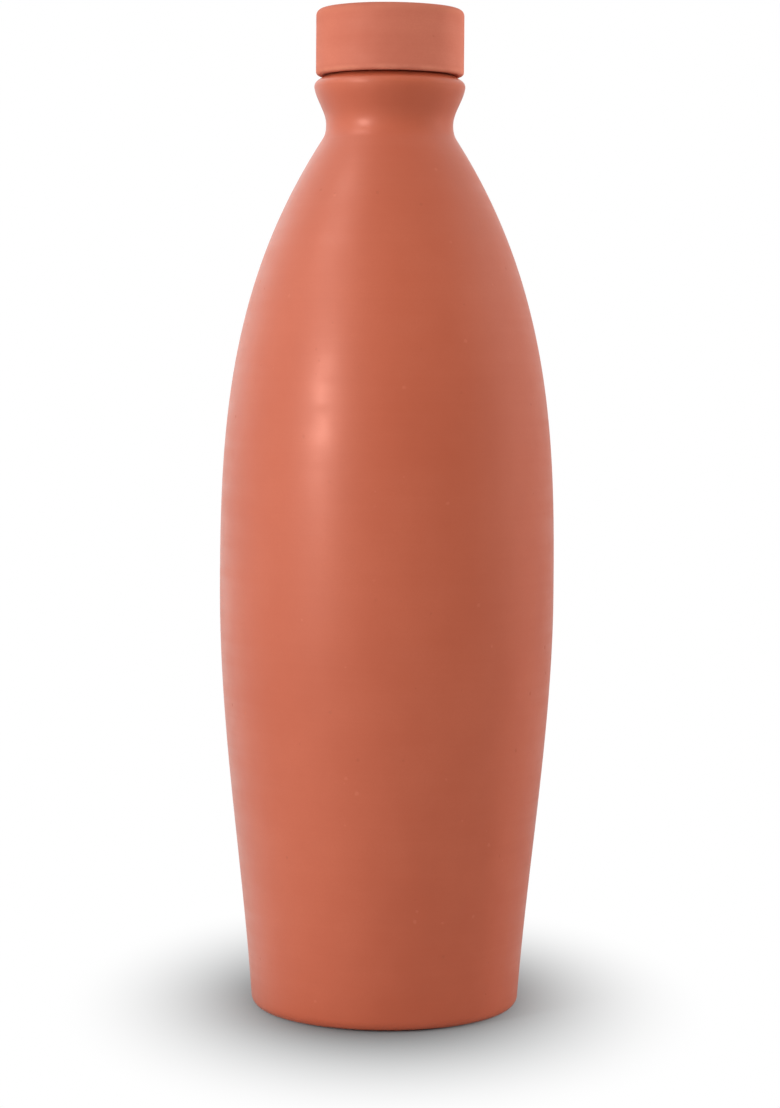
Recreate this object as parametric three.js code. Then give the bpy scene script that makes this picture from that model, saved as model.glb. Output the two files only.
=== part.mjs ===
// Clay water bottle with a push-in clay cap. Every piece is turned round one upright axis.
// Millimetres, +Z up. The origin is on that axis, in the plane that the foot stands on.
import * as THREE from "three";

// Outside of the bottle, from the foot up to the lip.
// A lean is how far the wall moves outwards for each millimetre that it rises.
// The lip's edge is rounded over a share of the bevel.
const FOOT_RADIUS = 38.6;
const FOOT_EDGE_ROUND = 3;
const FOOT_LEAN = 0.072;
const FOOT_RING_WIDTH = 9;
const BASE_RECESS_DEPTH = 1.5;
const BELLY_RADIUS = 48;
const FOOT_TO_BELLY = 116.5;
const BELLY_TO_NECK = 129.2;
const NECK_ROOT_STEP = 1.05;
const NECK_ROOT_LEAN = -0.645;
const WAIST_RADIUS = 18.15;
const NECK_TO_WAIST = 4.3;
const WAIST_TO_LIP = 10.7;
const LIP_FLARE = 3.35;
const LIP_LEAN = 0.15;
const LIP_EDGE_HEIGHT = 1.5;
const LIP_EDGE_SHARE = 0.4;
const LIP_BEVEL_WIDTH = 3.7;
const LIP_BEVEL_RISE = 3.2;

// Inside of the bottle.
const BODY_WALL = 6;
const NECK_WALL = 5;
const FLOOR_THICKNESS = 8;
const FLOOR_ROUND = 8;
const MOUTH_ROUND = 1;

// Cap: a round head on the lip, and a hollow spigot that plugs the bore.
const CAP_INSET = 0.4;
const CAP_HEAD_HEIGHT = 17.9;
const CAP_TOP_ROUND = 1.8;
const CAP_RIM_ROUND = 0.6;
const CAP_TOP_WALL = 6;
const CAP_HOLLOW_ROUND = 3;
const SPIGOT_CLEARANCE = 0.5;
const SPIGOT_WALL = 5.6;
const SPIGOT_TAIL = 4.5;
const SPIGOT_END_ROUND = 1;

// Rubber seals: a thin flat washer on the lip, and two round rings in grooves of the spigot.
const GASKET_THICKNESS = 0.5;
const GASKET_EDGE_INSET = 0.6;
const GASKET_EDGE_ROUND = 0.15;
const GASKET_CLEARANCE = 0.3;
const SEAT_CLEARANCE = 0.05;
const RING_THICKNESS = 2.4;
const RING_DROP = 6;
const RING_PITCH = 6;
const RING_CLEARANCE = 0.15;
const GROOVE_CLEARANCE = 0.15;

// Finishes.
const BURNISHED_CLAY = { color: "#c67357", roughness: 0.5 };
const PLAIN_CLAY = { color: "#c4745a", roughness: 0.8 };
const RED_RUBBER = { color: "#7d3322", roughness: 0.6 };

// Roundness: facets round the axis, and how far a facet may stray from its curve.
const FACETS = 48;
const FACET_SAG = 0.1;
const TURN_SAMPLES = 16;
const QUARTER_TURN = Math.PI / 2;

// Heights and radii that follow from the sizes above.
const BELLY_Z = FOOT_EDGE_ROUND + FOOT_TO_BELLY;
const NECK_Z = BELLY_Z + BELLY_TO_NECK;
const WAIST_Z = NECK_Z + NECK_TO_WAIST;
const LIP_Z = WAIST_Z + WAIST_TO_LIP;
const LAND_Z = LIP_Z + LIP_BEVEL_RISE;
const LIP_RADIUS = WAIST_RADIUS + LIP_FLARE;
const LAND_RADIUS = LIP_RADIUS - LIP_BEVEL_WIDTH;
const BORE_RADIUS = WAIST_RADIUS - NECK_WALL;
const GASKET_Z = LAND_Z + SEAT_CLEARANCE;
const CAP_Z = GASKET_Z + GASKET_THICKNESS + SEAT_CLEARANCE;
const CAP_TOP_Z = CAP_Z + CAP_HEAD_HEIGHT;
const CAP_RADIUS = LIP_RADIUS - CAP_INSET;
const SPIGOT_RADIUS = BORE_RADIUS - SPIGOT_CLEARANCE;
const HOLLOW_RADIUS = SPIGOT_RADIUS - SPIGOT_WALL;
const UPPER_RING_Z = CAP_Z - RING_DROP;
const LOWER_RING_Z = UPPER_RING_Z - RING_PITCH;
const SPIGOT_END_Z = LOWER_RING_Z - SPIGOT_TAIL;
const RING_RADIUS = BORE_RADIUS - RING_CLEARANCE - RING_THICKNESS / 2;
const GROOVE_ROUND = RING_THICKNESS / 2 + GROOVE_CLEARANCE;

// A station is one place on a wall: its radius, its height and its lean there.
function station(radius, z, lean) {
  return { radius, z, lean };
}

// The station that lies square in from an outer one, through a wall of the given thickness.
function squareInFrom(outer, wall) {
  const slant = Math.hypot(1, outer.lean);
  const radius = outer.radius - wall / slant;
  const z = outer.z + (wall * outer.lean) / slant;
  return station(radius, z, outer.lean);
}

// Draws a smooth wall through its stations, as one cubic stretch between each two.
function drawWall(path, stations) {
  for (let i = 1; i < stations.length; i += 1) {
    const from = stations[i - 1];
    const to = stations[i];
    const third = (to.z - from.z) / 3;
    path.bezierCurveTo(
      from.radius + from.lean * third,
      from.z + third,
      to.radius - to.lean * third,
      to.z - third,
      to.radius,
      to.z,
    );
  }
}

// How far a curve turns in all from its start to its end, in radians.
function turningOf(curve) {
  let turning = 0;
  let before = curve.getTangent(0);
  for (let i = 1; i <= TURN_SAMPLES; i += 1) {
    const after = curve.getTangent(i / TURN_SAMPLES);
    turning += Math.abs(before.cross(after));
    before = after;
  }
  return turning;
}

// The fewest even steps along a curve that keep within the sag.
function stepsAlong(curve) {
  const steps = Math.ceil(Math.sqrt((curve.getLength() * turningOf(curve)) / (8 * FACET_SAG)));
  return Math.max(steps, 1);
}

// Turns a profile of radius and height round the axis, then stands it upright.
function turned(path) {
  const points = [path.getPoint(0)];
  for (const curve of path.curves) {
    points.push(...curve.getSpacedPoints(stepsAlong(curve)).slice(1));
  }
  return new THREE.LatheGeometry(points, FACETS).rotateX(QUARTER_TURN);
}

// The bottle's profile: under the foot, up the outside, over the lip and down the inside.
function bottleProfile() {
  const foot = station(FOOT_RADIUS, FOOT_EDGE_ROUND, FOOT_LEAN);
  const belly = station(BELLY_RADIUS, BELLY_Z, 0);
  const neckRoot = station(WAIST_RADIUS + NECK_ROOT_STEP, NECK_Z, NECK_ROOT_LEAN);
  const waist = station(WAIST_RADIUS, WAIST_Z, 0);
  const lip = station(LIP_RADIUS, LIP_Z, LIP_LEAN);
  const edgeRadius = LIP_RADIUS + LIP_LEAN * LIP_EDGE_HEIGHT;
  const edgeZ = LIP_Z + LIP_EDGE_HEIGHT;

  const innerFootZ = FLOOR_THICKNESS + FLOOR_ROUND;
  const footWallRadius = FOOT_RADIUS + FOOT_LEAN * (innerFootZ - FOOT_EDGE_ROUND);
  const innerFoot = station(footWallRadius - BODY_WALL, innerFootZ, FOOT_LEAN);
  const innerBelly = squareInFrom(belly, BODY_WALL);
  const innerRoot = squareInFrom(neckRoot, NECK_WALL);
  const boreEnd = station(BORE_RADIUS, innerRoot.z + NECK_TO_WAIST, 0);

  const footRingOuter = FOOT_RADIUS - FOOT_EDGE_ROUND;
  const footRingInner = footRingOuter - FOOT_RING_WIDTH;
  const path = new THREE.Path();
  path.moveTo(0, BASE_RECESS_DEPTH);
  path.quadraticCurveTo(footRingInner / 2, BASE_RECESS_DEPTH, footRingInner, 0);
  path.lineTo(footRingOuter, 0);
  path.absarc(footRingOuter, FOOT_EDGE_ROUND, FOOT_EDGE_ROUND, -QUARTER_TURN, 0, false);
  drawWall(path, [foot, belly, neckRoot, waist, lip]);
  path.quadraticCurveTo(
    edgeRadius,
    edgeZ,
    edgeRadius + (LAND_RADIUS - edgeRadius) * LIP_EDGE_SHARE,
    edgeZ + (LAND_Z - edgeZ) * LIP_EDGE_SHARE,
  );
  path.lineTo(LAND_RADIUS, LAND_Z);
  path.lineTo(BORE_RADIUS + MOUTH_ROUND, LAND_Z);
  path.absarc(BORE_RADIUS + MOUTH_ROUND, LAND_Z - MOUTH_ROUND, MOUTH_ROUND, QUARTER_TURN, Math.PI, false);
  path.lineTo(BORE_RADIUS, boreEnd.z);
  drawWall(path, [boreEnd, innerRoot, innerBelly, innerFoot]);
  path.absarc(innerFoot.radius - FLOOR_ROUND, innerFootZ, FLOOR_ROUND, 0, -QUARTER_TURN, true);
  path.lineTo(0, FLOOR_THICKNESS);
  return path;
}

// Cuts one round-bottomed groove into the side of the spigot, on the way up.
function drawGroove(path, z) {
  path.lineTo(SPIGOT_RADIUS, z - GROOVE_ROUND);
  path.lineTo(RING_RADIUS, z - GROOVE_ROUND);
  path.absarc(RING_RADIUS, z, GROOVE_ROUND, -QUARTER_TURN, QUARTER_TURN, true);
  path.lineTo(SPIGOT_RADIUS, z + GROOVE_ROUND);
}

// The cap's profile: down its hollow, round the spigot's end, up past the grooves and over the head.
function capProfile() {
  const hollowTopZ = CAP_TOP_Z - CAP_TOP_WALL;
  const hollowShoulderZ = hollowTopZ - CAP_HOLLOW_ROUND;
  const endRadius = SPIGOT_RADIUS - SPIGOT_END_ROUND;
  const endZ = SPIGOT_END_Z + SPIGOT_END_ROUND;
  const path = new THREE.Path();
  path.moveTo(0, hollowTopZ);
  path.lineTo(HOLLOW_RADIUS - CAP_HOLLOW_ROUND, hollowTopZ);
  path.absarc(
    HOLLOW_RADIUS - CAP_HOLLOW_ROUND,
    hollowShoulderZ,
    CAP_HOLLOW_ROUND,
    QUARTER_TURN,
    0,
    true,
  );
  path.lineTo(HOLLOW_RADIUS, endZ);
  path.absarc(HOLLOW_RADIUS + SPIGOT_END_ROUND, endZ, SPIGOT_END_ROUND, Math.PI, 3 * QUARTER_TURN, false);
  path.lineTo(endRadius, SPIGOT_END_Z);
  path.absarc(endRadius, endZ, SPIGOT_END_ROUND, -QUARTER_TURN, 0, false);
  drawGroove(path, LOWER_RING_Z);
  drawGroove(path, UPPER_RING_Z);
  path.lineTo(SPIGOT_RADIUS, CAP_Z);
  path.lineTo(CAP_RADIUS - CAP_RIM_ROUND, CAP_Z);
  path.absarc(CAP_RADIUS - CAP_RIM_ROUND, CAP_Z + CAP_RIM_ROUND, CAP_RIM_ROUND, -QUARTER_TURN, 0, false);
  path.lineTo(CAP_RADIUS, CAP_TOP_Z - CAP_TOP_ROUND);
  path.absarc(CAP_RADIUS - CAP_TOP_ROUND, CAP_TOP_Z - CAP_TOP_ROUND, CAP_TOP_ROUND, 0, QUARTER_TURN, false);
  path.lineTo(0, CAP_TOP_Z);
  return path;
}

// The flat washer that lies on the lip's land, under the head of the cap.
function gasketProfile() {
  const inner = SPIGOT_RADIUS + GASKET_CLEARANCE;
  const outer = LAND_RADIUS - GASKET_EDGE_INSET;
  const round = GASKET_EDGE_ROUND;
  const top = GASKET_Z + GASKET_THICKNESS;
  const path = new THREE.Path();
  path.moveTo(inner, GASKET_Z);
  path.lineTo(outer - round, GASKET_Z);
  path.absarc(outer - round, GASKET_Z + round, round, -QUARTER_TURN, 0, false);
  path.lineTo(outer, top - round);
  path.absarc(outer - round, top - round, round, 0, QUARTER_TURN, false);
  path.lineTo(inner, top);
  path.lineTo(inner, GASKET_Z);
  return path;
}

// A rubber ring of round section, in its groove at the given height.
function ringProfile(z) {
  const path = new THREE.Path();
  path.absarc(RING_RADIUS, z, RING_THICKNESS / 2, 0, 2 * Math.PI, false);
  return path;
}

// A named piece in a material of its own.
function piece(name, profile, finish) {
  const material = new THREE.MeshStandardMaterial({ ...finish, metalness: 0 });
  const mesh = new THREE.Mesh(turned(profile), material);
  mesh.name = name;
  return mesh;
}

const bottle = new THREE.Group();
bottle.add(piece("bottle_body", bottleProfile(), BURNISHED_CLAY));
bottle.add(piece("cap", capProfile(), PLAIN_CLAY));
bottle.add(piece("mouth_gasket", gasketProfile(), RED_RUBBER));
bottle.add(piece("upper_seal_ring", ringProfile(UPPER_RING_Z), RED_RUBBER));
bottle.add(piece("lower_seal_ring", ringProfile(LOWER_RING_Z), RED_RUBBER));

export default bottle;
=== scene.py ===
"""Looks of the clay water bottle: a burnished clay body, a plain clay cap and red rubber seals.

Lengths are in metres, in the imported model's frame: +Z up, with the origin under the middle of the
foot. Every piece is drawn as a half section of radius and height, which a geometry node tree turns
round the axis and touches up with the small unevenness that a potter's hand leaves.
"""
import logging
import math
from dataclasses import dataclass, field
from enum import Enum
from typing import ClassVar

import bpy
from mathutils import Euler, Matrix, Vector


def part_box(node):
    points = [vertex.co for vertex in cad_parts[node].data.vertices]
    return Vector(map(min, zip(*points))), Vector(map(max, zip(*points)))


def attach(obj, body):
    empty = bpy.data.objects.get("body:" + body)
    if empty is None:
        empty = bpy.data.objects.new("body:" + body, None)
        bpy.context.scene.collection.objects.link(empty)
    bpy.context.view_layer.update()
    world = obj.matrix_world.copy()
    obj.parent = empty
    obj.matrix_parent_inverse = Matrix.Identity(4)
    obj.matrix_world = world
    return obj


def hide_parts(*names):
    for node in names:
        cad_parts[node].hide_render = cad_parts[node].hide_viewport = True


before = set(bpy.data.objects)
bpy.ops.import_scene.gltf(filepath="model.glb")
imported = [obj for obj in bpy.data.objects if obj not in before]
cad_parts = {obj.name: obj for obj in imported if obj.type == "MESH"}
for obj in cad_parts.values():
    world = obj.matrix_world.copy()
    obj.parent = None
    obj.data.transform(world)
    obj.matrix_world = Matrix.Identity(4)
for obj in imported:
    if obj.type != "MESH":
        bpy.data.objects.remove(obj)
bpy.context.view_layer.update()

LOG = logging.getLogger("bottle")
MM = 0.001
IMAGE_WIDTH = 780
IMAGE_HEIGHT = 1108

# Noise keeps near its middle, so a ramp over one of these ranges spreads it over the whole scale.
NOISE_MIDDLE = 0.5
WIDE_RANGE = (0.25, 0.75)
USUAL_RANGE = (0.3, 0.7)
NARROW_RANGE = (0.32, 0.68)

Colour = tuple[float, float, float, float]
Socket = bpy.types.NodeSocket
Outputs = bpy.types.bpy_prop_collection
Feed = Socket | float | int | tuple[float, ...] | str


class Slot(Enum):
    """The material slots, by name."""

    BURNISHED_CLAY = "burnished_clay"
    PLAIN_CLAY = "plain_clay"
    RED_RUBBER = "red_rubber"


class Body(Enum):
    """The bodies that pieces ride on."""

    BOTTLE = "bottle"
    SEALS = "seals"
    CAP = "cap"


def srgb(red: int, green: int, blue: int) -> Colour:
    """Turns a colour as a screen shows it into the linear colour that a shader takes.

    Args:
        red: the red share, from 0 to 255.
        green: the green share, from 0 to 255.
        blue: the blue share, from 0 to 255.

    Returns:
        The linear colour, with full opacity.
    """
    linear = []
    for share in (red, green, blue):
        value = share / 255
        linear.append(value / 12.92 if value <= 0.04045 else ((value + 0.055) / 1.055) ** 2.4)
    return (*linear, 1.0)


class Wiring:
    """Adds nodes to one node tree and wires them together."""

    # The places of a Mix node's colour sockets, which share their names with its other sockets.
    MIX_SHARE: ClassVar[int] = 0
    MIX_FIRST: ClassVar[int] = 6
    MIX_SECOND: ClassVar[int] = 7
    MIX_COLOUR: ClassVar[int] = 2

    def __init__(self, tree: bpy.types.NodeTree) -> None:
        """Keeps the tree that the nodes go into."""
        self.tree = tree

    def node(
        self,
        kind: str,
        feeds: dict[str | int, Feed] | None = None,
        **options: object,
    ) -> bpy.types.Node:
        """Adds one node.

        Args:
            kind: the node's type.
            feeds: what each input takes, by its name or number: another node's socket or a
                constant.
            options: the node's own settings.

        Returns:
            The new node.
        """
        made = self.tree.nodes.new(kind)
        for option, value in options.items():
            setattr(made, option, value)
        for key, value in (feeds or {}).items():
            if isinstance(value, Socket):
                self.tree.links.new(value, made.inputs[key])
            else:
                made.inputs[key].default_value = value
        return made

    def math(self, operation: str, *feeds: Feed) -> Socket:
        """Adds a sum on numbers and gives its result."""
        return self.node("ShaderNodeMath", dict(enumerate(feeds)), operation=operation).outputs[0]

    def vector(self, operation: str, *feeds: Feed) -> Socket:
        """Adds a sum on vectors and gives the vector that comes out."""
        made = self.node("ShaderNodeVectorMath", dict(enumerate(feeds)), operation=operation)
        return made.outputs["Vector"]

    def measure(self, operation: str, *feeds: Feed) -> Socket:
        """Adds a sum on vectors and gives the number that comes out."""
        made = self.node("ShaderNodeVectorMath", dict(enumerate(feeds)), operation=operation)
        return made.outputs["Value"]

    def scaled(self, vector: Feed, factor: Feed) -> Socket:
        """Gives a vector times a number."""
        feeds = {"Vector": vector, "Scale": factor}
        return self.node("ShaderNodeVectorMath", feeds, operation="SCALE").outputs["Vector"]

    def per(self, size: Feed) -> Socket:
        """Gives the scale of a pattern whose features are about that size."""
        return self.math("DIVIDE", 1.0, size)

    def swing(self, value: Feed, strength: float, base: Feed) -> Socket:
        """Adds a noise's swing about its middle, times a strength, to a base."""
        about = self.math("SUBTRACT", value, NOISE_MIDDLE)
        return self.math("MULTIPLY_ADD", about, strength, base)

    def ramp(
        self,
        value: Feed,
        low: Feed,
        high: Feed,
        start: Feed = 0.0,
        end: Feed = 1.0,
    ) -> Socket:
        """Moves smoothly from start to end as a value goes from low to high.

        Args:
            value: what is looked at.
            low: where the move begins.
            high: where the move ends.
            start: the result up to low.
            end: the result from high on.

        Returns:
            The result's socket.
        """
        feeds = {
            "Value": value,
            "From Min": low,
            "From Max": high,
            "To Min": start,
            "To Max": end,
        }
        made = self.node("ShaderNodeMapRange", feeds, interpolation_type="SMOOTHSTEP")
        return made.outputs["Result"]

    def blend(self, share: Feed, first: Feed, second: Feed) -> Socket:
        """Mixes two colours.

        Args:
            share: how much of the second colour shows.
            first: the colour underneath.
            second: the colour on top.

        Returns:
            The mixed colour's socket.
        """
        feeds = {self.MIX_SHARE: share, self.MIX_FIRST: first, self.MIX_SECOND: second}
        made = self.node("ShaderNodeMix", feeds, data_type="RGBA", clamp_factor=True)
        return made.outputs[self.MIX_COLOUR]

    def noise(
        self,
        vector: Feed,
        scale: Feed,
        detail: float = 2.0,
        roughness: float = 0.5,
    ) -> Socket:
        """Adds cloudy noise and gives its value, about 0.5 on average."""
        feeds = {"Vector": vector, "Scale": scale, "Detail": detail, "Roughness": roughness}
        return self.node("ShaderNodeTexNoise", feeds).outputs[0]

    def principled(self, height: Socket, feeds: dict[str, Feed]) -> None:
        """Ends a material: its fine relief as a bump, its shader and the output.

        Args:
            height: the relief, in metres.
            feeds: what the shader's other inputs take.
        """
        bump = self.node("ShaderNodeBump", {"Height": height, "Strength": 1.0, "Distance": 1.0})
        shader = self.node("ShaderNodeBsdfPrincipled", {**feeds, "Normal": bump.outputs[0]})
        self.node("ShaderNodeOutputMaterial", {"Surface": shader.outputs[0]})


def blank_material(name: str) -> tuple[bpy.types.Material, Wiring]:
    """Makes a material that has no nodes yet.

    Args:
        name: the material's name.

    Returns:
        The material, and the wiring of its node tree.
    """
    made = bpy.data.materials.new(name)
    made.use_nodes = True
    made.node_tree.nodes.clear()
    return made, Wiring(made.node_tree)


class GroupMaker:
    """Makes a shader node group with named inputs and outputs."""

    SOCKET_KIND: ClassVar[str] = "NodeSocketFloat"

    def __init__(self, name: str, inputs: dict[str, float], outputs: tuple[str, ...]) -> None:
        """Starts a group.

        Args:
            name: the group's name.
            inputs: each input's name and its usual value.
            outputs: the names of the values that the group gives.
        """
        self.tree = bpy.data.node_groups.new(name, "ShaderNodeTree")
        face = self.tree.interface
        for label, usual in inputs.items():
            socket = face.new_socket(name=label, in_out="INPUT", socket_type=self.SOCKET_KIND)
            socket.default_value = usual
        for label in outputs:
            face.new_socket(name=label, in_out="OUTPUT", socket_type=self.SOCKET_KIND)
        self.wires = Wiring(self.tree)
        self.entry = self.wires.node("NodeGroupInput").outputs
        self.place = self.wires.node("ShaderNodeTexCoord").outputs["Object"]

    def close(self, **results: Socket) -> bpy.types.NodeTree:
        """Wires the results to the group's outputs.

        Args:
            results: the socket for each output.

        Returns:
            The finished group.
        """
        self.wires.node("NodeGroupOutput", results)
        return self.tree


class ClayEffects:
    """The shader groups that the clay and rubber finishes share."""

    # Grains: how the cells round them are shaken out of shape, the share of its full width that
    # the smallest grain has at least, and the share of a grain that is solid in its middle.
    SHAKE_SCALE: ClassVar[float] = 900.0
    SHAKE_REACH: ClassVar[float] = 0.5 * MM
    LEAST_GRAIN: ClassVar[float] = 0.4
    GRAIN_CORE: ClassVar[float] = 0.35
    # The wear that is left on an edge where the noise breaks it up most.
    LEAST_WEAR: ClassVar[float] = 0.15

    def __init__(self) -> None:
        """Makes every group once."""
        self.firing = self.make_firing()
        self.turning = self.make_turning()
        self.grit = self.make_grit()
        self.wear = self.make_wear()

    @staticmethod
    def make_firing() -> bpy.types.NodeTree:
        """Makes the soft patches that the kiln leaves in fired clay, at two sizes.

        Returns:
            The group, which gives patches and the smaller clouds.
        """
        inputs = {"Patch Size": 50 * MM, "Cloud Size": 12 * MM}
        maker = GroupMaker("firing_patches", inputs, ("Patches", "Clouds"))
        wires, entry = maker.wires, maker.entry
        patches = wires.noise(
            maker.place, wires.per(entry["Patch Size"]), detail=3.0, roughness=0.55
        )
        clouds = wires.noise(maker.place, wires.per(entry["Cloud Size"]), detail=4.0, roughness=0.6)
        return maker.close(
            Patches=wires.ramp(patches, *USUAL_RANGE),
            Clouds=wires.ramp(clouds, *WIDE_RANGE),
        )

    @staticmethod
    def make_turning() -> bpy.types.NodeTree:
        """Makes the level streaks and fine lines that smoothing on a wheel leaves round a pot.

        Returns:
            The group, which gives streaks and the finer lines.
        """
        inputs = {"Streak Height": 4 * MM, "Line Height": 0.6 * MM, "Streak Length": 60 * MM}
        maker = GroupMaker("turning_marks", inputs, ("Streaks", "Lines"))
        wires = maker.wires
        round_scale = wires.per(maker.entry["Streak Length"])
        results = {}
        for label, size in (("Streaks", "Streak Height"), ("Lines", "Line Height")):
            feeds = {0: round_scale, 1: round_scale, 2: wires.per(maker.entry[size])}
            scales = wires.node("ShaderNodeCombineXYZ", feeds).outputs[0]
            stretched = wires.vector("MULTIPLY", maker.place, scales)
            results[label] = wires.ramp(wires.noise(stretched, 1.0), *USUAL_RANGE)
        return maker.close(**results)

    @classmethod
    def make_grit(cls) -> bpy.types.NodeTree:
        """Makes scattered grains in the clay, and a fine powdery grain all over.

        Returns:
            The group, which gives the grains, each grain's kind from 0 to 1, and the powder.
        """
        inputs = {
            "Spacing": 4 * MM,
            "Share": 0.3,
            "Grain Width": 0.6 * MM,
            "Powder Size": 0.5 * MM,
        }
        maker = GroupMaker("clay_grit", inputs, ("Grains", "Kind", "Powder"))
        wires, entry = maker.wires, maker.entry
        feeds = {"Vector": maker.place, "Scale": cls.SHAKE_SCALE, "Detail": 1.0}
        shaken = wires.node("ShaderNodeTexNoise", feeds).outputs["Color"]
        shift = wires.scaled(
            wires.vector("SUBTRACT", shaken, (NOISE_MIDDLE,) * 3), cls.SHAKE_REACH
        )
        feeds = {
            "Vector": wires.vector("ADD", maker.place, shift),
            "Scale": wires.per(entry["Spacing"]),
        }
        cells = wires.node("ShaderNodeTexVoronoi", feeds).outputs
        draw = wires.node("ShaderNodeSeparateColor", {0: cells["Color"]}).outputs
        reach = wires.math("MULTIPLY", cells["Distance"], entry["Spacing"])
        size = wires.math("ADD", draw[1], cls.LEAST_GRAIN)
        width = wires.math("MULTIPLY", entry["Grain Width"], size)
        core = wires.math("MULTIPLY", width, cls.GRAIN_CORE)
        spot = wires.ramp(reach, core, width, 1.0, 0.0)
        chosen = wires.math("LESS_THAN", draw[0], entry["Share"])
        powder = wires.noise(
            maker.place, wires.per(entry["Powder Size"]), detail=3.0, roughness=0.6
        )
        grains = wires.math("MULTIPLY", spot, chosen)
        return maker.close(Grains=grains, Kind=draw[2], Powder=powder)

    @classmethod
    def make_wear(cls) -> bpy.types.NodeTree:
        """Makes the rubbed edges: where the piece's rim attribute is high, broken up by noise.

        Returns:
            The group, which gives the wear.
        """
        maker = GroupMaker("edge_wear", {"Amount": 1.0, "Patch Size": 6 * MM}, ("Wear",))
        wires, entry = maker.wires, maker.entry
        rim = wires.node("ShaderNodeAttribute", attribute_name="rim").outputs["Fac"]
        patch = wires.noise(
            maker.place, wires.per(entry["Patch Size"]), detail=4.0, roughness=0.65
        )
        left = wires.ramp(patch, *NARROW_RANGE, cls.LEAST_WEAR, 1.0)
        broken = wires.math("MULTIPLY", rim, left)
        return maker.close(Wear=wires.math("MULTIPLY", broken, entry["Amount"]))


@dataclass(frozen=True)
class ClayMasks:
    """What the shader groups, and the piece's own hand attribute, give one clay material."""

    firing: Outputs
    turning: Outputs
    grit: Outputs
    wear: Socket
    burnish: Socket

    @classmethod
    def placed(cls, wires: Wiring, effects: ClayEffects) -> "ClayMasks":
        """Places the groups in a material.

        Args:
            wires: the material's wiring.
            effects: the shader groups to place.

        Returns:
            What they give there.
        """
        return cls(
            firing=wires.node("ShaderNodeGroup", node_tree=effects.firing).outputs,
            turning=wires.node("ShaderNodeGroup", node_tree=effects.turning).outputs,
            grit=wires.node("ShaderNodeGroup", node_tree=effects.grit).outputs,
            wear=wires.node("ShaderNodeGroup", node_tree=effects.wear).outputs["Wear"],
            burnish=wires.node("ShaderNodeAttribute", attribute_name="hand").outputs["Fac"],
        )


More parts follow.
